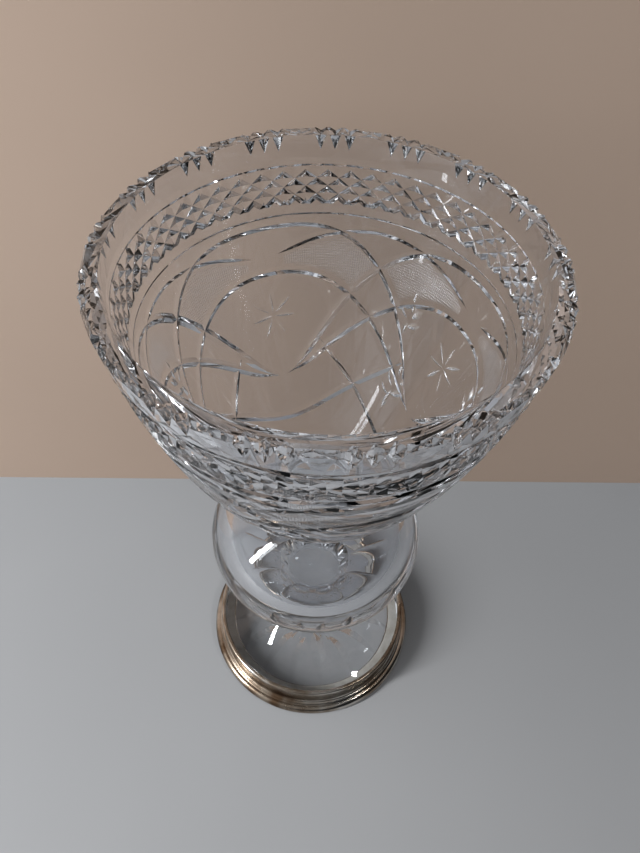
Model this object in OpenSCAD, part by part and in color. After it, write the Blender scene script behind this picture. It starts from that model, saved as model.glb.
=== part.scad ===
// Footed flower vase: a heavy cut-crystal vessel in one blown piece (bowl, globe and foot disc),
// bedded in a stepped silver foot mount. The vase stands on Z = 0, with its axis on Z.

/* [Vase] */
// Overall height, from the table to the rim
height = 355; // [330:1:380]
// Outside diameter of the rim
rim_d = 200; // [180:1:220]
// Thickness of the glass at the rim
rim_wall = 8.3; // [7:0.1:10]

/* [Bowl and neck] */
// Height of the narrowest part of the neck, between the bowl and the globe
neck_z = 188; // [184:1:192]
// Outside diameter of the neck
neck_d = 64; // [58:1:70]
// Diameter of the way through the neck
neck_bore_d = 40; // [30:1:44]

/* [Globe] */
// Height of the widest part of the globe
globe_z = 137; // [134:1:139]
// Outside diameter of the globe
globe_d = 132; // [120:1:140]
// Thickness of the glass round the globe
globe_wall = 13; // [10:0.5:15]

/* [Foot] */
// Outside diameter of the waist between the globe and the foot disc
waist_d = 44; // [40:1:52]
// Diameter of the glass foot disc
disc_d = 130; // [120:1:136]
// Height of the foot disc's top edge
disc_z = 24; // [22:0.5:27]

/* [Cuts] */
// Number of groups of notches round the rim
notch_groups = 17; // [12:1:18]
// Distance between the notches of a group, along the rim
notch_pitch = 7.4; // [6:0.1:8]
// Depth of each notch, at the top of the rim
notch_depth = 4; // [2:0.1:5]
// Distance from the rim down to the upper ring groove
upper_ring_drop = 17; // [15:0.5:20]
// Distance from the rim down to the lower ring groove
lower_ring_drop = 42; // [36:0.5:50]

/* [Silver mount] */
// Outside diameter of the base wire, across the mount's foot
mount_d = 149; // [144:1:156]
// Thickness of the silver sheet
silver_t = 0.9; // [0.6:0.1:1.2]

/* [Hidden] */

$fn = 144;
steps = 14;                 // stretches in each curve of an outline
notches_in_group = 3;
notch_angle = 46;           // each face of a notch, from the notch's middle plane
notch_tilt = 14;            // how far a notch's bottom leans out from the vertical
gap_half_width = 8;         // half the length of the bevel between two groups
bevel_inset = 2.2;          // how far that bevel reaches in over the rim's top
bevel_drop = 3;             // and down the wall
lens_inset = 0.5;           // depth of the flat below the bevel, at its top
lens_drop = 9;              // where that flat runs out
ring_depth = 1.2;
ring_half_width = 2;
edge_bevel = 1.2;
fit_gap = 0.3;              // what the bedding and the solder leave between the pieces

rim_r = rim_d / 2;
neck_r = neck_d / 2;
globe_r = globe_d / 2;
globe_half_height = 50;
globe_floor = 20;           // thickness of the glass under the globe's hollow
waist_r = waist_d / 2;
waist_z = 66;
disc_r = disc_d / 2;
disc_bottom = 8;

wire_r = 3.6;               // base wire
base_wire_r = mount_d / 2 - wire_r;
bead_r = 1.6;               // upper bead
band_r = disc_r + 1.4;      // inside of the collar's upright band
ledge_z = disc_bottom - 1.2;
band_top = disc_z - 1.5;

// Points of curves, each as [radius, height].
function bezier(a, b, c, d, t) =
    pow(1 - t, 3) * a + 3 * t * pow(1 - t, 2) * b + 3 * t * t * (1 - t) * c + pow(t, 3) * d;
function curve(a, b, c, d) = [for (i = [0:steps]) bezier(a, b, c, d, i / steps)];
function swell(rx, rz, z, low, high) =
    [for (i = [0:steps]) let (a = low + (high - low) * i / steps) [rx * cos(a), z + rz * sin(a)]];

// The bowl's wall swells out of the neck and rises nearly upright to the rim.
function bowl_curve(r0, z0, r1, z1) = curve(
    [r0, z0],
    [r0 + 0.37 * (r1 - r0), z0 + 0.10 * (z1 - z0)],
    [r0 + 0.82 * (r1 - r0), z0 + 0.49 * (z1 - z0)],
    [r1, z1]);

globe_low = -acos(waist_r * 1.18 / globe_r);
globe_high = acos(neck_r * 1.04 / globe_r);
globe_out = swell(globe_r, globe_half_height, globe_z, globe_low, globe_high);
bowl_out = bowl_curve(neck_r, neck_z + 4, rim_r, height - edge_bevel);
foot_out = curve(
    [disc_r, disc_z],
    [disc_r - 28, disc_z + 7],
    [waist_r, waist_z - 22],
    [waist_r, waist_z]);

hollow_r = globe_r - globe_wall;
hollow_half = globe_half_height - globe_floor + 6;
hollow_z = globe_z + 2;
bore_r = neck_bore_d / 2;
hollow = swell(hollow_r, hollow_half, hollow_z, -90, acos(bore_r / hollow_r));
bowl_in = bowl_curve(bore_r, neck_z + 12, rim_r - rim_wall, height);

function wall_r(z) = lookup(z, [for (p = bowl_out) [p[1], p[0]]]);

vessel_outline = concat(
    [[0, disc_bottom], [disc_r - 1, disc_bottom], [disc_r, disc_bottom + 1]],
    foot_out,
    globe_out,
    [[neck_r, neck_z]],
    bowl_out,
    [[rim_r - edge_bevel, height]],
    [for (i = [steps:-1:0]) bowl_in[i]],
    [for (i = [steps:-1:1]) hollow[i]],
    [[0, hollow_z - hollow_half]]);

// V-shaped groove round the wall.
module ring_groove(drop) {
    z = height - drop;
    r = wall_r(z);
    rotate_extrude()
        polygon([
            [r - ring_depth, z],
            [r + ring_depth, z + 2 * ring_half_width],
            [r + ring_depth, z - 2 * ring_half_width]]);
}

module notch() {
    reach = 3 * notch_depth;
    half = reach * tan(notch_angle);
    translate([rim_r - notch_depth, 0, height])
        rotate([0, -notch_tilt, 0])
            translate([0, 0, -reach * 2])
                linear_extrude(reach * 3)
                    polygon([[0, 0], [reach, half], [reach, -half]]);
}

module rim_notches() {
    pitch_angle = notch_pitch / rim_r * 180 / PI;
    middle = (notches_in_group - 1) / 2;
    for (g = [0:notch_groups - 1], k = [0:notches_in_group - 1])
        rotate([0, 0, -90 + (g + 0.5) * 360 / notch_groups + (k - middle) * pitch_angle])
            notch();
}

// A flat cut on the wall in the middle of a gap, from one [inset, drop] down to another.
module flat_cut(upper, lower, half_width) {
    r0 = wall_r(height - edge_bevel) - upper[0];
    r1 = wall_r(height - lower[1]) - lower[0];
    lean = atan2(r0 - r1, lower[1] - upper[1]);
    translate([r0, -half_width, height - upper[1]])
        rotate([0, lean, 0])
            translate([0, 0, -3 * lens_drop])
                cube([lens_drop, 2 * half_width, 4 * lens_drop]);
}

module gap_flats() {
    for (g = [0:notch_groups - 1])
        rotate([0, 0, -90 + g * 360 / notch_groups]) {
            flat_cut([bevel_inset, 0], [0, bevel_drop], gap_half_width);
            flat_cut([lens_inset, bevel_drop], [0, lens_drop], 2 * gap_half_width);
        }
}

// Bowl, globe and foot disc in one piece of clear lead crystal.
module glass_vessel() {
    color([0.86, 0.89, 0.92, 0.5])
        difference() {
            rotate_extrude() polygon(vessel_outline);
            ring_groove(upper_ring_drop);
            ring_groove(lower_ring_drop);
            rim_notches();
            gap_flats();
        }
}

// Spun silver shell: an upright band round the disc, a cove under it, and a ledge under the glass.
module foot_collar() {
    cove_z = 2 * wire_r + 1;
    color([0.72, 0.70, 0.67])
        rotate_extrude()
            polygon([
                [disc_r - 9, ledge_z - silver_t],
                [band_r - 0.6, ledge_z - silver_t],
                [base_wire_r - 1.2, 1.2],
                [base_wire_r, 1.2],
                [base_wire_r, 2 * wire_r - 0.4],
                [band_r + silver_t + 0.8, cove_z],
                [band_r + silver_t, cove_z + 1.2],
                [band_r + silver_t, band_top],
                [band_r, band_top],
                [band_r, ledge_z],
                [disc_r - 9, ledge_z]]);
}

// Round wire soldered along the collar's top edge.
module upper_bead() {
    color([0.76, 0.74, 0.71])
        translate([0, 0, band_top + bead_r + fit_gap / 10])
            rotate_extrude()
                translate([band_r + silver_t / 2, 0])
                    circle(bead_r, $fn = 32);
}

// Heavy round wire that the mount stands on, flattened underneath where it meets the table.
module base_wire() {
    color([0.70, 0.67, 0.63])
        rotate_extrude()
            difference() {
                translate([base_wire_r, wire_r - 0.3]) circle(wire_r, $fn = 48);
                translate([base_wire_r - 2 * wire_r, -wire_r]) square([4 * wire_r, wire_r]);
                translate([base_wire_r - 2 * wire_r, 1.2]) square([2 * wire_r, 2 * wire_r]);
            }
}

// Ring of plaster cement that holds the glass disc inside the collar.
module cement_bed() {
    color([0.88, 0.85, 0.78])
        rotate_extrude()
            polygon([
                [disc_r - 8, ledge_z + fit_gap / 10],
                [band_r - fit_gap / 10, ledge_z + fit_gap / 10],
                [band_r - fit_gap / 10, disc_z - 3],
                [disc_r + fit_gap / 10, disc_z - 3],
                [disc_r + fit_gap / 10, disc_bottom + 1],
                [disc_r - 1, disc_bottom - fit_gap / 10],
                [disc_r - 8, disc_bottom - fit_gap / 10]]);
}

glass_vessel();
foot_collar();
upper_bead();
base_wire();
cement_bed();
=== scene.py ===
import math

import bmesh
import bpy
import numpy as np
from mathutils import Matrix, Vector


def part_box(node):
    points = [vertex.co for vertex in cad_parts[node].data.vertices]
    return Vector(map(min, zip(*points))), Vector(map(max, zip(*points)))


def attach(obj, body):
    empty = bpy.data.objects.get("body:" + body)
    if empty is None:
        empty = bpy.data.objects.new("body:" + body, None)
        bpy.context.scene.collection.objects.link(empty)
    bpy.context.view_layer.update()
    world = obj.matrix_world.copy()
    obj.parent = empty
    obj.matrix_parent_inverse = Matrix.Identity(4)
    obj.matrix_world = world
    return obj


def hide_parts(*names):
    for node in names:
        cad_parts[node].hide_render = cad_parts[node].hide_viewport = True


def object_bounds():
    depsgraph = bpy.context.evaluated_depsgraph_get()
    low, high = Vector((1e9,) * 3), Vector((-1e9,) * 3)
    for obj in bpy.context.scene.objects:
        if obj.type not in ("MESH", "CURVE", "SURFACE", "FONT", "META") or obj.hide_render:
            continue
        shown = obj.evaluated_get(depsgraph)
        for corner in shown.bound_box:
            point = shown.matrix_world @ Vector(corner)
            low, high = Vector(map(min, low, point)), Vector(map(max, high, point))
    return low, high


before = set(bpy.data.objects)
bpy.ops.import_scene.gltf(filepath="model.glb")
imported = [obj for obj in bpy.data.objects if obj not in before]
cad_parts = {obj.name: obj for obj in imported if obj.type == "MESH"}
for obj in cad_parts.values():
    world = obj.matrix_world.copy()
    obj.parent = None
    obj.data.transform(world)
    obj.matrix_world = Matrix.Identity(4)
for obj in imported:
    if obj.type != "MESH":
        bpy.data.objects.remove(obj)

CAD_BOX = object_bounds()
MM = 0.001

# The vessel's outline, in millimetres, as in the CAD.
HEIGHT = CAD_BOX[1].z / MM
RIM_R = 100
RIM_WALL = 8.3
EDGE_BEVEL = 1.2
NECK_R = 32
NECK_Z = 188
BORE_R = 20
GLOBE_R = 66
GLOBE_Z = 137
GLOBE_HALF = 50
HOLLOW_R = 53
HOLLOW_HALF = 36
HOLLOW_Z = 139
WAIST_R = 22
WAIST_Z = 66
DISC_R = 65
DISC_TOP = 24
DISC_BOTTOM = 8

# The silver mount, in millimetres.
COLLAR_BAND_R = DISC_R + 1.4
LEDGE_R = DISC_R - 9
LEDGE_TOP = 6.8
SILVER_T = 0.9
BASE_WIRE_R = 3.6

# The cuts, in millimetres and degrees. A drop is a distance down from the rim.
GROUPS = 17
NOTCH_PITCH = 7.4
NOTCH_DEPTH = 4
NOTCH_ANGLE = 46
NOTCH_TILT = 14
GAP_HALF_WIDTH = 8
BEVEL_INSET = 2.2
BEVEL_DROP = 3
LENS_INSET = 0.5
LENS_DROP = 9
UPPER_RING = 17
LOWER_RING = 42
RING_DEPTH = 1.2
RING_HALF_WIDTH = 2
DIAMONDS = 3 * GROUPS
DIAMOND_TALL = 8.2
DIAMOND_DEPTH = 1.85
DIAMOND_ANGLE = 60
BAND_TOP = 18.5
BAND_BOTTOM = 37.5
PANELS = 4
PANEL_START = 25          # azimuth of the first panel's middle
ARCH_DEPTH = 1.5
ARCH_ANGLE = 60
HATCH_DEPTH = 0.14
HATCH_ANGLE = 55
HATCH_START = 7           # a hatched field's nearest and furthest place from its panel's middle, in degrees
HATCH_SIDE = 46
HATCH_TOP = 48            # the drops between which the hatching lies
HATCH_BOTTOM = 100
HATCH_STEP = 0.85         # between upright hatch lines, in degrees
HATCH_GAP = 1.35          # between level hatch lines
HATCH_MARGIN = 2.4        # left clear between the hatching and the arches
OLIVE_ANGLE = 63
SPRIG_DROP = 96
SPRIG_DEPTH = 0.5
SPRAY_PLACES = [(27, 88), (20, 125)]    # degrees from a panel's middle, and drop
SPRAY_DEPTH = 1
STEM_FLUTES = 10
FLUTE_RADIUS = 30
FLUTE_WIDEST = 12         # most that a flute reaches to either side
FLUTE_LOW = 33
FLUTE_HIGH = 119
STAR_RAYS = 16
STAR_STARTS = (8, 14)     # where a ray starts, in turn
STAR_REACH = 60
STAR_DEPTH = 1.8
STAR_ANGLE = 70

WORLD_STRENGTH = 0.34
BACKDROP_Y = 0.1312       # where the wall stands behind the vase, in metres
BACKDROP_TURN = 2.83      # how far the wall is turned about the vertical, in degrees
STAGE_REACH = 3           # half the width of the floor and of the wall, in metres
PAINTED_FALLOFF_START = 0.5          # where the painted falloff of light begins: the floor and the wall darken from here on, in metres from the vase
PAINTED_FALLOFF_END = 1.3
SEGMENTS = 192
OVER = 0.6                # how far a cutter stands proud of the glass
SHARP_ANGLE = 24          # where two faces meet in an edge, in degrees
UNCUT_REACH = 0.4         # uncut glass lies this close to the outline
UNCUT_ANGLE = 12          # and its faces turn less than this from it, in degrees
# What a face is: uncut wall, a polished cut, a cut left matt, or a plane.
WALL_FACE, SWEPT, MATT, FLAT = range(4)


# ---------------------------------------------------------------- outline of the glass

def bezier(a, b, c, d, n):
    t = np.linspace(0, 1, n)[:, None]
    a, b, c, d = (np.array(p, float) for p in (a, b, c, d))
    return (1 - t) ** 3 * a + 3 * t * (1 - t) ** 2 * b + 3 * t * t * (1 - t) * c + t ** 3 * d


def bowl_curve(r0, z0, r1, z1, n):
    second = (r0 + 0.37 * (r1 - r0), z0 + 0.10 * (z1 - z0))
    third = (r0 + 0.82 * (r1 - r0), z0 + 0.49 * (z1 - z0))
    return bezier((r0, z0), second, third, (r1, z1), n)


def swell(rx, rz, z, low, high, n):
    a = np.radians(np.linspace(low, high, n))
    return np.stack([rx * np.cos(a), z + rz * np.sin(a)], 1)


def arc_cos(ratio):
    return math.degrees(math.acos(ratio))


def outer_wall(n):
    """The outside of the glass from the disc's edge to the rim, with n points in each curve."""
    edge, waist = (DISC_R, DISC_TOP), (WAIST_R, WAIST_Z)
    foot = bezier(edge, (DISC_R - 28, DISC_TOP + 7), (WAIST_R, WAIST_Z - 22), waist, n)
    low, high = -arc_cos(WAIST_R * 1.18 / GLOBE_R), arc_cos(NECK_R * 1.04 / GLOBE_R)
    globe = swell(GLOBE_R, GLOBE_HALF, GLOBE_Z, low, high, n)
    bowl = bowl_curve(NECK_R, NECK_Z + 4, RIM_R, HEIGHT - EDGE_BEVEL, n)
    return np.vstack([foot, globe, [[NECK_R, NECK_Z]], bowl])


def inner_wall(n):
    """The inside of the glass from the rim down to the bottom of the globe's hollow."""
    bowl = bowl_curve(BORE_R, NECK_Z + 12, RIM_R - RIM_WALL, HEIGHT, n)[::-1]
    hollow = swell(HOLLOW_R, HOLLOW_HALF, HOLLOW_Z, -90, arc_cos(BORE_R / HOLLOW_R), n)[::-1]
    hollow[-1, 0] = 0
    return np.vstack([bowl, hollow])


WALL = outer_wall(400)
WALL_SLOPE = np.gradient(WALL[:, 0], WALL[:, 1])


def wall(theta, z):
    """Points and outward normals on the outside of the glass, at azimuths theta (radians) and heights z."""
    r = np.interp(z, WALL[:, 1], WALL[:, 0])
    slope = np.interp(z, WALL[:, 1], WALL_SLOPE)
    points = np.stack([r * np.cos(theta), r * np.sin(theta), z], 1)
    normals = np.stack([np.cos(theta), np.sin(theta), -slope], 1)
    return points, normals / np.linalg.norm(normals, axis=1)[:, None]


def wall_radius(z):
    return float(np.interp(z, WALL[:, 1], WALL[:, 0]))


# ---------------------------------------------------------------- meshes

def mesh_object(name, verts, faces, kind=WALL_FACE):
    mesh = bpy.data.meshes.new(name)
    mesh.from_pydata([tuple(v) for v in verts], [], faces)
    label = mesh.attributes.new("kind", "INT", "FACE")
    label.data.foreach_set("value", [kind] * len(mesh.polygons))
    mesh.update()
    obj = bpy.data.objects.new(name, mesh)
    bpy.context.scene.collection.objects.link(obj)
    return obj


def face_outwards(obj):
    bm = bmesh.new()
    bm.from_mesh(obj.data)
    bmesh.ops.recalc_face_normals(bm, faces=bm.faces)
    bm.to_mesh(obj.data)
    bm.free()


def revolve(name, outline, closed, kind=WALL_FACE):
    """A body of revolution. A closed outline makes a ring; an open one starts and ends on the axis."""
    verts, rings = [], []
    for r, z in outline:
        if r == 0:
            rings.append([len(verts)] * SEGMENTS)
            verts.append((0, 0, z * MM))
            continue
        rings.append(list(range(len(verts), len(verts) + SEGMENTS)))
        for i in range(SEGMENTS):
            a = 2 * math.pi * i / SEGMENTS
            verts.append((r * math.cos(a) * MM, r * math.sin(a) * MM, z * MM))
    faces = []
    pairs = list(zip(rings, rings[1:]))
    if closed:
        pairs.append((rings[-1], rings[0]))
    for low, high in pairs:
        for i in range(SEGMENTS):
            j = (i + 1) % SEGMENTS
            corners = [low[i], low[j], high[j], high[i]]
            faces.append(tuple(dict.fromkeys(corners)))
    obj = mesh_object(name, verts, faces, kind)
    face_outwards(obj)
    return obj


# ---------------------------------------------------------------- cutters

def mitre_section(depth, angle):
    """Across a V-shaped cut: sideways and outward offsets of its three corners."""
    half = (depth + OVER) * math.tan(math.radians(angle))
    return [(0, -depth), (half, OVER), (-half, OVER)]


def flute_section(depth, radius, half_width):
    """Across a hollow cut with a round bottom."""
    reach = math.asin(min(0.95, half_width * 1.08 / radius))
    arc = np.linspace(-reach, reach, 9)
    return [(radius * math.sin(a), radius - depth - radius * math.cos(a)) for a in arc]


def cutter(points, normals, sections):
    """A closed solid swept along points. Each has its own section of sideways and outward offsets."""
    points, normals = np.array(points, float), np.array(normals, float)
    along = np.gradient(points, axis=0)
    side = np.cross(along, normals)
    side /= np.linalg.norm(side, axis=1)[:, None]
    count = len(sections[0])
    verts = []
    for p, n, s, section in zip(points, normals, side, sections):
        verts += [tuple((p + s * x + n * y) * MM) for x, y in section]
    faces = [tuple(range(count))]
    for i in range(len(points) - 1):
        for k in range(count):
            m = (k + 1) % count
            faces.append((i * count + k, i * count + m, (i + 1) * count + m, (i + 1) * count + k))
    faces.append(tuple(range((len(points) - 1) * count, len(points) * count)))
    return verts, faces


def mitre_cut(theta, z, depth, angle, taper):
    """A V-shaped cut along azimuths theta (radians) and heights z, shallower over taper of each end."""
    points, normals = wall(theta, z)
    t = np.linspace(0, 1, len(theta))
    fade = np.clip(np.minimum(t, 1 - t) / taper, 0, 1)
    return cutter(points, normals, [mitre_section(d, angle) for d in depth * np.sin(fade * math.pi / 2)])


def olive_cut(azimuth, drop, length, turn, depth):
    """A pointed oval cut. turn is its direction on the wall, in degrees up from the horizontal."""
    t = np.linspace(-1, 1, 11)
    z = HEIGHT - drop + t * length / 2 * math.sin(math.radians(turn))
    r = wall_radius(HEIGHT - drop)
    theta = math.radians(azimuth) + t * length / 2 * math.cos(math.radians(turn)) / r
    points, normals = wall(theta, z)
    return cutter(points, normals, [mitre_section(depth * (1 - x * x), OLIVE_ANGLE) for x in t])


def batch(name, cutters, kind=SWEPT):
    """One object from several cutters."""
    verts, faces = [], []
    for v, f in cutters:
        faces += [tuple(i + len(verts) for i in face) for face in f]
        verts += v
    obj = mesh_object(name, verts, faces, kind)
    face_outwards(obj)
    return obj


def ring_cut(drop):
    z = HEIGHT - drop
    r = wall_radius(z)
    across = 2 * RING_HALF_WIDTH
    outline = [(r - RING_DEPTH, z), (r + RING_DEPTH, z + across), (r + RING_DEPTH, z - across)]
    return revolve("ring_cut", outline, closed=True, kind=SWEPT)


def group_azimuth(g):
    return -90 + (g + 0.5) * 360 / GROUPS


def notch_cut(azimuth):
    """A V-shaped notch through the rim's outer edge, leaning out as it goes down."""
    reach = 3 * NOTCH_DEPTH
    half = reach * math.tan(math.radians(NOTCH_ANGLE))
    lean = math.radians(NOTCH_TILT)
    down = np.array([math.sin(lean), 0, -math.cos(lean)])
    out = np.array([math.cos(lean), 0, math.sin(lean)])
    side = np.array([0, 1, 0])
    top = np.array([RIM_R - NOTCH_DEPTH, 0, HEIGHT])
    turn = np.array(Matrix.Rotation(math.radians(azimuth), 3, "Z"))
    verts = []
    for along in (-reach, 2 * reach):
        for x, y in ((0, 0), (reach, half), (reach, -half)):
            verts.append(tuple(turn @ (top + down * along + out * x + side * y) * MM))
    faces = [(0, 1, 2), (3, 5, 4), (0, 3, 4, 1), (1, 4, 5, 2), (2, 5, 3, 0)]
    return verts, faces


def notch_batches():
    pitch = math.degrees(NOTCH_PITCH / RIM_R)
    return [
        batch(f"notches_{k}", [notch_cut(group_azimuth(g) + (k - 1) * pitch) for g in range(GROUPS)], FLAT)
        for k in range(3)]


def flat_cut(azimuth, upper, lower, half_width):
    """A block that leaves a flat on the wall, from one (inset, drop) down to another."""
    r0 = wall_radius(HEIGHT - EDGE_BEVEL) - upper[0]
    r1 = wall_radius(HEIGHT - lower[1]) - lower[0]
    lean = math.atan2(r0 - r1, lower[1] - upper[1])
    place = Matrix.Rotation(math.radians(azimuth), 4, "Z")
    place @= Matrix.Translation((r0, 0, HEIGHT - upper[1])) @ Matrix.Rotation(lean, 4, "Y")
    verts = [
        tuple(place @ Vector((x, y, z)) * MM)
        for x in (0, LENS_DROP) for y in (-half_width, half_width) for z in (-3 * LENS_DROP, LENS_DROP)]
    return verts, [(0, 1, 3, 2), (4, 6, 7, 5), (0, 4, 5, 1), (2, 3, 7, 6), (0, 2, 6, 4), (1, 5, 7, 3)]


def gap_batches():
    """Between the groups of notches: a bevel on the rim's edge, and a flat with a curved foot under it."""
    middles = [group_azimuth(g + 0.5) for g in range(GROUPS)]
    bevels = [flat_cut(a, (BEVEL_INSET, 0), (0, BEVEL_DROP), GAP_HALF_WIDTH) for a in middles]
    lenses = [flat_cut(a, (LENS_INSET, BEVEL_DROP), (0, LENS_DROP), 2 * GAP_HALF_WIDTH) for a in middles]
    thirds = [batch(f"lenses_{i}", lenses[i::3], FLAT) for i in range(3)]
    return [batch("bevels", bevels, FLAT)] + thirds


def diamond_batches():
    """Two crossing families of grooves, which leave a band of small pyramids."""
    tall = BAND_BOTTOM - BAND_TOP
    turn = tall / DIAMOND_TALL * 2 * math.pi / DIAMONDS
    stations = 11
    z = np.linspace(HEIGHT - BAND_TOP, HEIGHT - BAND_BOTTOM, stations)
    result = []
    for name, way in (("diamonds_left", 1), ("diamonds_right", -1)):
        cuts = []
        for i in range(DIAMONDS):
            start = 2 * math.pi * i / DIAMONDS
            theta = start + way * np.linspace(-turn / 2, turn / 2, stations)
            cuts.append(mitre_cut(theta, z, DIAMOND_DEPTH, DIAMOND_ANGLE, taper=0.06))
        result.append(batch(name, cuts))
    return result


# The arches: each gives its drop at an azimuth distance d from its middle, in degrees.

def outer_arch(d):
    return 47 + 83 * np.abs(np.sin(np.radians(d))) ** 4


def inner_arch(d):
    return 72 + 57 * np.abs(np.sin(np.radians(d))) ** 2.6


def short_arch(d):
    return 49 + 17 * (np.abs(d) / 44) ** 1.8


def festoon(d):
    return 151 - 0.0085 * np.abs(d) ** 2


def panel_azimuth(i):
    return PANEL_START + i * 360 / PANELS


def arch_cut(middle, curve, reach, depth=ARCH_DEPTH, count=96):
    d = np.linspace(-reach, reach, count)
    return mitre_cut(np.radians(middle + d), HEIGHT - curve(d), depth, ARCH_ANGLE, taper=0.1)


def arch_batches():
    result = []
    for i in range(PANELS):
        middle = panel_azimuth(i)
        result.append(batch(f"outer_arch_{i}", [arch_cut(middle, outer_arch, 88)]))
        result.append(batch(f"inner_arch_{i}", [arch_cut(middle, inner_arch, 87)]))
        result.append(batch(f"festoon_{i}", [arch_cut(middle, festoon, 70)]))
    shorts = [arch_cut(panel_azimuth(i + 0.5), short_arch, 40, 0.8 * ARCH_DEPTH, 48) for i in range(PANELS)]
    result.append(batch("short_arches", shorts))
    return result


def in_hatched_panel(d, drop):
    """Whether points are between the arches where the glass is hatched. d is from a panel's middle."""
    d = np.abs(d)
    apart = 360 / PANELS
    top = np.maximum(outer_arch(d), short_arch(apart / 2 - d)) + HATCH_MARGIN
    bottom = np.minimum(inner_arch(d), outer_arch(apart - d)) - HATCH_MARGIN
    return (d > HATCH_START) & (d < HATCH_SIDE) & (drop > top) & (drop < bottom)


def runs(inside):
    """Start and end of each stretch of true values that is at least three long."""
    edges = np.flatnonzero(np.diff(np.r_[0, inside.astype(int), 0]))
    return [(a, b) for a, b in zip(edges[::2], edges[1::2]) if b - a >= 3]


def upright_hatching(middle):
    """The upright lines in the hatched fields of the panel whose middle is given, each of five points."""
    cuts = []
    drops = np.arange(HATCH_TOP, HATCH_BOTTOM, 0.6)
    for d in np.arange(-HATCH_SIDE, HATCH_SIDE + 0.1, HATCH_STEP):
        theta = np.full(5, math.radians(middle + d))
        for a, b in runs(in_hatched_panel(np.full(len(drops), d), drops)):
            z = HEIGHT - np.linspace(drops[a], drops[b - 1], len(theta))
            cuts.append(mitre_cut(theta, z, HATCH_DEPTH, HATCH_ANGLE, taper=0.12))
    return cuts


def level_hatching(middle):
    """The lines across them, with a point every two degrees or so."""
    cuts = []
    d = np.arange(-HATCH_SIDE, HATCH_SIDE + 0.1, 0.4)
    for drop in np.arange(HATCH_TOP + 2, HATCH_BOTTOM, HATCH_GAP):
        for a, b in runs(in_hatched_panel(d, np.full(len(d), drop))):
            n = max(4, int((b - a) / 5))
            theta = np.radians(middle + np.linspace(d[a], d[b - 1], n))
            cuts.append(mitre_cut(theta, np.full(n, HEIGHT - drop), HATCH_DEPTH, HATCH_ANGLE, taper=0.12))
    return cuts


def hatch_batches():
    upright, level = [], []
    for i in range(PANELS):
        upright += upright_hatching(panel_azimuth(i))
        level += level_hatching(panel_azimuth(i))
    return [batch("hatch_upright", upright, MATT), batch("hatch_level", level, MATT)]


# The leaves of each kind of sprig, as (sideways, upwards, length, direction in degrees).
STAR_SPRIG = [
    (0, 7, 12, 90), (-6.5, 5, 13, 142), (6.5, 5, 13, 38), (-7, -1, 13, 184),
    (7, -1, 13, -4), (-4, -7, 11, 238), (4, -7, 11, -58)]
LEAF_SPRAY = [
    (0, 9, 12, 82), (4.5, 3, 9.5, 48), (-4, 4, 9, 128), (5, -3.5, 9.5, 30),
    (-4.5, -2.5, 9, 150), (0.5, -8, 11, 96)]


def sprig(leaves, azimuth, drop, depth, mirror=1):
    """The cuts of a sprig whose middle is at an azimuth and a drop."""
    degrees = math.degrees(1 / wall_radius(HEIGHT - drop))
    return [
        olive_cut(azimuth + mirror * x * degrees, drop - y, length, turn if mirror > 0 else 180 - turn, depth)
        for x, y, length, turn in leaves]


def spray_batches():
    """A star sprig in every panel, and two leaf sprays on each side of every second one."""
    cuts = []
    for i in range(PANELS):
        middle = panel_azimuth(i)
        cuts += sprig(STAR_SPRIG, middle, SPRIG_DROP, SPRIG_DEPTH)
        if i % 2 == 0:
            for side in (1, -1):
                for away, drop in SPRAY_PLACES:
                    cuts += sprig(LEAF_SPRAY, middle + side * away, drop, SPRAY_DEPTH, side)
    return [batch("sprays", cuts, MATT)]


def flute_batches():
    """Broad hollow cuts that run up the stem and end round on the underside of the globe."""
    fade_low, fade_high, clear = 0.3, 0.16, 0.02
    z = FLUTE_LOW + (FLUTE_HIGH - FLUTE_LOW) * np.sin(np.linspace(0, math.pi / 2, 25))
    half_width = np.minimum(math.pi * np.interp(z, WALL[:, 1], WALL[:, 0]) / STEM_FLUTES, FLUTE_WIDEST)
    t = (z - FLUTE_LOW) / (FLUTE_HIGH - FLUTE_LOW)
    fade = np.clip(np.minimum(t / fade_low, (1 - t) / fade_high), 0, 1)
    sections = [
        flute_section(h * h / (2 * FLUTE_RADIUS) * f - clear, FLUTE_RADIUS, 1.15 * h)
        for h, f in zip(half_width, fade)]
    cuts = []
    for i in range(STEM_FLUTES):
        points, normals = wall(np.full(len(z), 2 * math.pi * i / STEM_FLUTES), z)
        cuts.append(cutter(points, normals, sections))
    return [batch(f"stem_flutes_{i}", cuts[i::2]) for i in (0, 1)]


def star_batches():
    """Broad shallow rays cut into the underside of the disc. Every second one starts further out."""
    cuts = []
    t = np.linspace(-1, 1, 9)
    sections = [mitre_section(STAR_DEPTH * (1 - x * x), STAR_ANGLE) for x in t]
    down = np.tile([0, 0, -1.0], (len(t), 1))
    for i in range(STAR_RAYS):
        a = 2 * math.pi * (i + 0.5) / STAR_RAYS
        reach = np.linspace(STAR_STARTS[i % 2], STAR_REACH, len(t))
        points = np.stack([reach * math.cos(a), reach * math.sin(a), np.full(len(t), DISC_BOTTOM)], 1)
        cuts.append(cutter(points, down, sections))
    return [batch(f"star_{i}", cuts[i::2]) for i in (0, 1)]


def carve(obj, cutters):
    """Takes every cutter out of obj and removes the cutters."""
    for tool in cutters:
        change = obj.modifiers.new(tool.name, "BOOLEAN")
        change.operation = "DIFFERENCE"
        change.solver = "MANIFOLD"
        change.object = tool
    graph = bpy.context.evaluated_depsgraph_get()
    carved = bpy.data.meshes.new_from_object(obj.evaluated_get(graph))
    obj.modifiers.clear()
    obj.data = carved
    for tool in cutters:
        bpy.data.objects.remove(tool)


def read(items, field, width=1, kind=float):
    """One field of every item, as an array with width columns."""
    values = np.empty(len(items) * width, kind)
    items.foreach_get(field, values)
    return values.reshape(-1, width) if width > 1 else values


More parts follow.
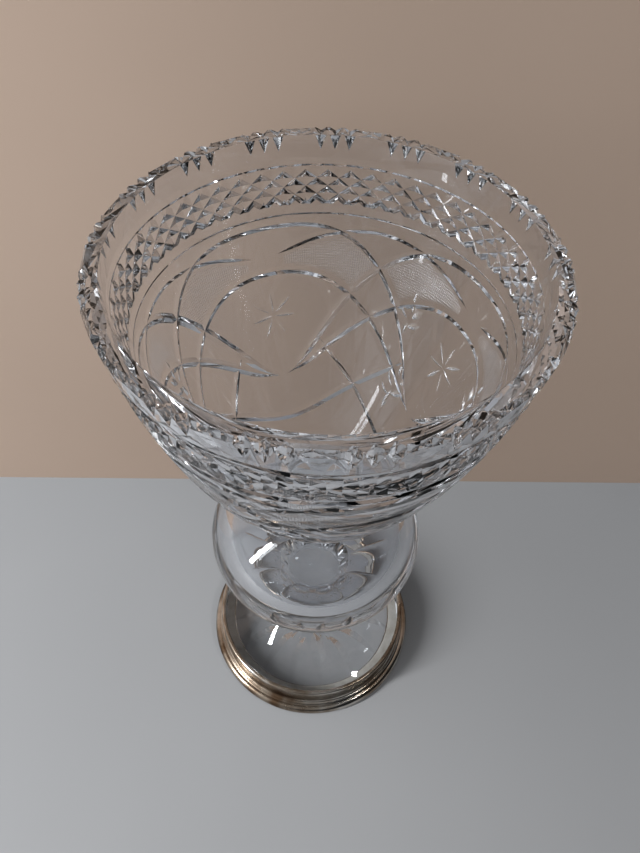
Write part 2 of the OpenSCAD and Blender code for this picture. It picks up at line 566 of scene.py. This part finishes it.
def sharpen_borders(mesh, kinds, face):
    """Keeps an edge sharp where its two faces are of different kinds, or meet at a clear angle."""
    mesh.shade_smooth()
    mesh.set_sharp_from_angle(angle=math.radians(SHARP_ANGLE))
    edge = read(mesh.loops, "edge_index", kind=int)
    lowest = np.full(len(mesh.edges), FLAT)
    highest = np.zeros(len(mesh.edges), int)
    np.minimum.at(lowest, edge, kinds[face])
    np.maximum.at(highest, edge, kinds[face])
    sharp = (lowest != highest) | read(mesh.edges, "use_edge_sharp", kind=bool)
    mesh.edges.foreach_set("use_edge_sharp", sharp)


def wall_normals(line, theta, height):
    """Normals of the surface of revolution of an outline, pointing away from the axis, and its radii."""
    r = np.interp(height, line[:, 1], line[:, 0])
    slope = np.interp(height, line[:, 1], np.gradient(line[:, 0], line[:, 1]))
    normals = np.stack([np.cos(theta), np.sin(theta), -slope], 1)
    return normals / np.linalg.norm(normals, axis=1)[:, None], r


def polish_normals(mesh, inner):
    """Shades uncut glass from its outline, long cuts smoothly along their length, and flats as planes."""
    kinds = read(mesh.attributes["kind"].data, "value", kind=int)
    face = np.repeat(np.arange(len(mesh.polygons)), read(mesh.polygons, "loop_total", kind=int))
    sharpen_borders(mesh, kinds, face)
    flat = read(mesh.polygons, "normal", 3)[face]
    result = read(mesh.corner_normals, "vector", 3)
    result[kinds[face] == FLAT] = flat[kinds[face] == FLAT]
    corners = read(mesh.vertices, "co", 3)[read(mesh.loops, "vertex_index", kind=int)] / MM
    theta = np.arctan2(corners[:, 1], corners[:, 0])
    radius = np.hypot(corners[:, 0], corners[:, 1])
    for line, sign in ((WALL, 1), (inner, -1)):
        smooth, r = wall_normals(line, theta, corners[:, 2])
        smooth *= sign
        along = (smooth * flat).sum(1) > math.cos(math.radians(UNCUT_ANGLE))
        fits = (np.abs(radius - r) < UNCUT_REACH) & along
        misfits = np.bincount(face, weights=~fits, minlength=len(mesh.polygons))
        chosen = ((misfits == 0) & (kinds == WALL_FACE))[face]
        result[chosen] = smooth[chosen]
    mesh.normals_split_custom_set([tuple(n) for n in result])


def glass_vessel():
    """The crystal: a body of revolution with every cut taken out of it."""
    outline = np.vstack([
        [[0, DISC_BOTTOM], [DISC_R - 1, DISC_BOTTOM], [DISC_R, DISC_BOTTOM + 1]],
        outer_wall(30),
        [[RIM_R - EDGE_BEVEL, HEIGHT]],
        inner_wall(26)])
    obj = revolve("crystal_vessel", outline, closed=False)
    tools = notch_batches() + gap_batches() + diamond_batches() + arch_batches() + hatch_batches()
    tools += spray_batches() + flute_batches() + star_batches()
    tools += [ring_cut(drop) for drop in (UPPER_RING, LOWER_RING)]
    carve(obj, tools)
    inner = inner_wall(400)[:-1]        # without the point on the axis
    polish_normals(obj.data, inner[::-1])
    dress(obj, crystal_material("crystal", 0.0), crystal_material("matt_crystal", 0.24))
    matt = read(obj.data.attributes["kind"].data, "value", kind=int) == MATT
    obj.data.polygons.foreach_set("material_index", matt.astype(int))
    return obj


# ---------------------------------------------------------------- silver and plaster

def rounded(corners, radius, steps=6):
    """An outline whose corners are rounded, from (r, z) corners of a closed polygon."""
    corners = [np.array(c, float) for c in corners]
    points = []
    for before, corner, after in zip(corners[-1:] + corners[:-1], corners, corners[1:] + corners[:1]):
        back, ahead = before - corner, after - corner
        cut = min(radius, 0.45 * np.linalg.norm(back), 0.45 * np.linalg.norm(ahead))
        start = corner + back / np.linalg.norm(back) * cut
        end = corner + ahead / np.linalg.norm(ahead) * cut
        for t in np.linspace(0, 1, steps):
            points.append((1 - t) ** 2 * start + 2 * t * (1 - t) * corner + t * t * end)
    return points


def dress(obj, *materials):
    """Gives an object these materials and no others."""
    obj.data.materials.clear()
    for material in materials:
        obj.data.materials.append(material)


def smooth_revolve(name, outline):
    """A closed ring, shaded smooth up to its clear edges."""
    edge_angle = 40
    obj = revolve(name, outline, closed=True)
    obj.data.shade_smooth()
    obj.data.set_sharp_from_angle(angle=math.radians(edge_angle))
    return obj


def silver_collar():
    """Spun sheet: a band round the glass disc, a stepped cove under it and a ledge below the glass."""
    low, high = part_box("foot_collar")
    base, top, outside = low.z / MM, high.z / MM, high.x / MM
    band, ledge_bottom = COLLAR_BAND_R, LEDGE_TOP - SILVER_T
    corners = [
        (LEDGE_R, ledge_bottom), (band - 0.6, ledge_bottom),
        (outside - 1.2, base), (outside, base), (outside, base + 5.6),
        (outside - 1.1, base + 6.3), (outside - 1.5, base + 6.9), (band + 1.9, base + 7.2),
        (band + 1.2, base + 8.2), (band + SILVER_T, base + 9.4), (band + SILVER_T, top), (band, top),
        (band, LEDGE_TOP), (LEDGE_R, LEDGE_TOP)]
    return smooth_revolve("silver_collar", rounded(corners, 0.5))


def wire_ring(name, node):
    """A round wire ring that fills the box of its CAD node, flattened where the CAD wire is."""
    low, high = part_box(node)
    base, top, outside = low.z / MM, high.z / MM, high.x / MM
    radius = (top - base) / 2 if node == "upper_bead" else BASE_WIRE_R
    middle = top - radius
    angles = np.radians(np.arange(0, 360, 7.5))
    outline = [
        (outside - radius + radius * math.cos(a), max(base, middle + radius * math.sin(a)))
        for a in angles]
    return smooth_revolve(name, outline)


# ---------------------------------------------------------------- materials

def new_material(name):
    material = bpy.data.materials.new(name)
    material.use_nodes = True
    nodes = material.node_tree.nodes
    return material, nodes, material.node_tree.links, nodes["Principled BSDF"]


def noise(nodes, links, scale, detail=3, stretch=(1, 1, 1)):
    """A noise pattern fixed to the object, scale to a metre."""
    place = nodes.new("ShaderNodeTexCoord")
    mapping = nodes.new("ShaderNodeMapping")
    mapping.inputs["Scale"].default_value = stretch
    pattern = nodes.new("ShaderNodeTexNoise")
    pattern.inputs["Scale"].default_value = scale
    pattern.inputs["Detail"].default_value = detail
    links.new(place.outputs["Object"], mapping.inputs["Vector"])
    links.new(mapping.outputs["Vector"], pattern.inputs["Vector"])
    return pattern.outputs["Fac"]


def ramp(nodes, links, source, stops):
    """Colours along a pattern, from (position, colour) stops."""
    node = nodes.new("ShaderNodeValToRGB")
    elements = node.color_ramp.elements
    while len(elements) < len(stops):
        elements.new(0.5)
    for element, (position, colour) in zip(elements, stops):
        element.position = position
        element.color = (*colour, 1)
    links.new(source, node.inputs["Fac"])
    return node.outputs["Color"]


def spread(nodes, links, source, low, high):
    """A pattern's middle range mapped to numbers from low to high."""
    node = nodes.new("ShaderNodeMapRange")
    node.inputs["From Min"].default_value = 0.3
    node.inputs["From Max"].default_value = 0.7
    node.inputs["To Min"].default_value = low
    node.inputs["To Max"].default_value = high
    links.new(source, node.inputs["Value"])
    return node.outputs["Result"]


def add_bump(nodes, links, shader, source, strength, distance):
    node = nodes.new("ShaderNodeBump")
    node.inputs["Strength"].default_value = strength
    node.inputs["Distance"].default_value = distance
    links.new(source, node.inputs["Height"])
    links.new(node.outputs["Normal"], shader.inputs["Normal"])


def crystal_material(name, roughness):
    """Lead crystal: greyed as painted shade in place of the shadow the glass doesn't cast on the floor seen
    through it, with a faint tint that varies at random and the faint waves of a hand-polished surface.
    """
    material, nodes, links, shader = new_material(name)
    shader.inputs["Transmission Weight"].default_value = 1
    shader.inputs["IOR"].default_value = 1.54
    shader.inputs["Roughness"].default_value = roughness
    tint_and_painted_shade = noise(nodes, links, 14)
    # painted shade: these greys darken the floor seen through the glass, which casts no shadow; the noise
    # varies the tint at random
    stops = [(0.3, (0.85, 0.87, 0.905)), (0.7, (0.90, 0.915, 0.94))]
    links.new(ramp(nodes, links, tint_and_painted_shade, stops), shader.inputs["Base Color"])
    add_bump(nodes, links, shader, noise(nodes, links, 60, 1), 0.02, 0.0001)
    return material


def silver_material():
    """Old silver: bright where it is rubbed, brown where tarnish has settled, and finely worn."""
    material, nodes, links, shader = new_material("silver")
    shader.inputs["Metallic"].default_value = 1
    tarnish = noise(nodes, links, 38, 6)
    stops = [
        (0.36, (0.12, 0.075, 0.045)), (0.5, (0.34, 0.28, 0.22)), (0.66, (0.66, 0.63, 0.58))]
    links.new(ramp(nodes, links, tarnish, stops), shader.inputs["Base Color"])
    links.new(spread(nodes, links, tarnish, 0.36, 0.13), shader.inputs["Roughness"])
    add_bump(nodes, links, shader, noise(nodes, links, 260, 4, (1, 1, 6)), 0.25, 0.0002)
    return material


def plaster_material():
    """Plaster cement: pale, matt and grainy."""
    material, nodes, links, shader = new_material("plaster")
    shader.inputs["Roughness"].default_value = 0.85
    grain = noise(nodes, links, 180, 6)
    stops = [(0.35, (0.60, 0.56, 0.49)), (0.65, (0.76, 0.73, 0.67))]
    links.new(ramp(nodes, links, grain, stops), shader.inputs["Base Color"])
    add_bump(nodes, links, shader, grain, 0.5, 0.0004)
    return material


def colour_with_painted_falloff(nodes, links, colour, painted_shade_colour):
    """Painted falloff of light: a colour that darkens to a painted shade colour with the distance from the
    vase, as if a pool of light lay round it, slightly uneven.
    """
    place = nodes.new("ShaderNodeTexCoord")
    distance = nodes.new("ShaderNodeVectorMath")
    distance.operation = "LENGTH"
    links.new(place.outputs["Object"], distance.inputs[0])
    # painted shade: this fade darkens the colour away from the vase, a painted falloff of light
    fade = nodes.new("ShaderNodeMapRange")
    fade.inputs["From Min"].default_value = PAINTED_FALLOFF_START
    fade.inputs["From Max"].default_value = PAINTED_FALLOFF_END
    links.new(distance.outputs["Value"], fade.inputs["Value"])
    mix = nodes.new("ShaderNodeMix")
    mix.data_type = "RGBA"
    mix.inputs["B"].default_value = (*painted_shade_colour, 1)
    links.new(fade.outputs["Result"], mix.inputs["Factor"])
    stops = [(0.3, [c * 0.95 for c in colour]), (0.7, [c * 1.04 for c in colour])]
    links.new(ramp(nodes, links, noise(nodes, links, 2.5), stops), mix.inputs["A"])
    return mix.outputs["Result"]


def floor_material():
    """A plain pale floor with a soft sheen, and painted shade that darkens it away from the vase."""
    material, nodes, links, shader = new_material("floor")
    shader.inputs["Roughness"].default_value = 0.5
    shader.inputs["Specular IOR Level"].default_value = 0.2
    # painted shade: the second colour is the floor darkened away from the vase, a painted falloff of light
    colour = colour_with_painted_falloff(nodes, links, (0.50, 0.50, 0.505), (0.28, 0.28, 0.285))
    links.new(colour, shader.inputs["Base Color"])
    return material


def backdrop_material():
    """A warm matt wall that is seen only from the front, so that it hides nothing from behind, with painted
    shade that darkens it away from the vase.
    """
    material, nodes, links, shader = new_material("backdrop")
    shader.inputs["Roughness"].default_value = 0.8
    # painted shade: the second colour is the wall darkened away from the vase, a painted falloff of light
    colour = colour_with_painted_falloff(nodes, links, (0.52, 0.39, 0.305), (0.26, 0.20, 0.165))
    links.new(colour, shader.inputs["Base Color"])
    side = nodes.new("ShaderNodeNewGeometry")
    clear = nodes.new("ShaderNodeBsdfTransparent")
    mix = nodes.new("ShaderNodeMixShader")
    links.new(side.outputs["Backfacing"], mix.inputs["Fac"])
    links.new(shader.outputs["BSDF"], mix.inputs[1])
    links.new(clear.outputs["BSDF"], mix.inputs[2])
    links.new(mix.outputs["Shader"], nodes["Material Output"].inputs["Surface"])
    return material


# ---------------------------------------------------------------- stage

def make_camera():
    """A camera above the front of the rim that looks steeply down on the vase."""
    data = bpy.data.cameras.new("camera")
    data.sensor_fit = "HORIZONTAL"
    data.sensor_width = 36
    data.lens = 40.5
    place = (0.0, -0.2353, 0.5403)
    pitch, pan, roll = 51.6, 0.12, 2.79
    obj = bpy.data.objects.new("camera", data)
    turn = Matrix.Rotation(math.radians(pan), 4, "Z") @ Matrix.Rotation(math.radians(90 - pitch), 4, "X")
    turn @= Matrix.Rotation(math.radians(roll), 4, "Z")
    obj.matrix_world = Matrix.Translation(Vector(place)) @ turn
    bpy.context.scene.collection.objects.link(obj)
    bpy.context.scene.camera = obj


def area_light(name, place, target, size, power, colour=(1, 1, 1)):
    """A rectangular soft light, with places and sizes in metres and power in watts."""
    data = bpy.data.lights.new(name, "AREA")
    data.shape = "RECTANGLE"
    data.size, data.size_y = size
    data.energy = power
    data.color = colour
    obj = bpy.data.objects.new(name, data)
    obj.location = place
    obj.rotation_euler = (Vector(target) - Vector(place)).to_track_quat("-Z", "Y").to_euler()
    bpy.context.scene.collection.objects.link(obj)


def make_stage():
    """A floor, and a wall behind the vase that neither shades nor tints what stands behind it."""
    reach = STAGE_REACH
    square = [(-reach, -reach, 0), (reach, -reach, 0), (reach, reach, 0), (-reach, reach, 0)]
    floor = mesh_object("floor", square, [(0, 1, 2, 3)])
    floor.data.materials.append(floor_material())
    upright = [(-reach, 0, 0), (reach, 0, 0), (reach, 0, reach), (-reach, 0, reach)]
    back = mesh_object("backdrop", upright, [(0, 1, 2, 3)])
    back.location = (0, BACKDROP_Y, 0)
    back.rotation_euler = (0, 0, math.radians(BACKDROP_TURN))
    back.visible_shadow = False
    back.visible_diffuse = False
    back.data.materials.append(backdrop_material())


def make_world():
    """A plain studio: one side is bright and cool, and the rest is dim."""
    world = bpy.data.worlds.new("world")
    bpy.context.scene.world = world
    world.use_nodes = True
    nodes, links = world.node_tree.nodes, world.node_tree.links
    direction = nodes.new("ShaderNodeTexCoord")
    facing = nodes.new("ShaderNodeVectorMath")
    facing.operation = "DOT_PRODUCT"
    facing.inputs[1].default_value = Vector((-0.93, -0.3, 0.1)).normalized()
    links.new(direction.outputs["Generated"], facing.inputs[0])
    brightness = nodes.new("ShaderNodeMapRange")
    brightness.inputs["From Min"].default_value = -1
    links.new(facing.outputs["Value"], brightness.inputs["Value"])
    stops = [
        (0.0, (0.03, 0.03, 0.033)), (0.5, (0.05, 0.052, 0.06)), (0.74, (0.28, 0.30, 0.34)),
        (0.93, (2.2, 2.26, 2.35))]
    background = nodes["Background"]
    links.new(ramp(nodes, links, brightness.outputs["Result"], stops), background.inputs["Color"])
    background.inputs["Strength"].default_value = WORLD_STRENGTH


def place_piece(obj, node):
    """Makes a piece stand for a CAD node and ride with the vase."""
    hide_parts(node)
    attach(obj, "root")


make_camera()
make_stage()
make_world()
area_light("window", (-1.0, -0.5, 0.75), (0, 0, 0.15), (0.09, 0.8), 14.5, (0.96, 0.98, 1))
area_light("fill", (-0.1, -0.9, 1.3), (0, 0, 0.2), (1.2, 1.2), 1.2)
area_light("lamp", (0.5, -0.2, 1.3), (0, 0, 0.2), (0.06, 0.06), 1.5)

vessel = glass_vessel()
vessel.visible_shadow = False
place_piece(vessel, "glass_vessel")

silver = silver_material()
mount = [
    (silver_collar(), "foot_collar", "silver_sheet"),
    (wire_ring("silver_bead", "upper_bead"), "upper_bead", "silver_wire"),
    (wire_ring("silver_base_wire", "base_wire"), "base_wire", "silver_wire")]
for piece, node, slot in mount:
    dress(piece, silver)
    place_piece(piece, node)
dress(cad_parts["cement_bed"], plaster_material())

scene = bpy.context.scene
scene.cycles.max_bounces = 24
scene.cycles.transmission_bounces = 24
scene.cycles.glossy_bounces = 8
scene.cycles.transparent_max_bounces = 16
scene.cycles.caustics_reflective = False
scene.cycles.caustics_refractive = False
scene.view_settings.view_transform = "Standard"
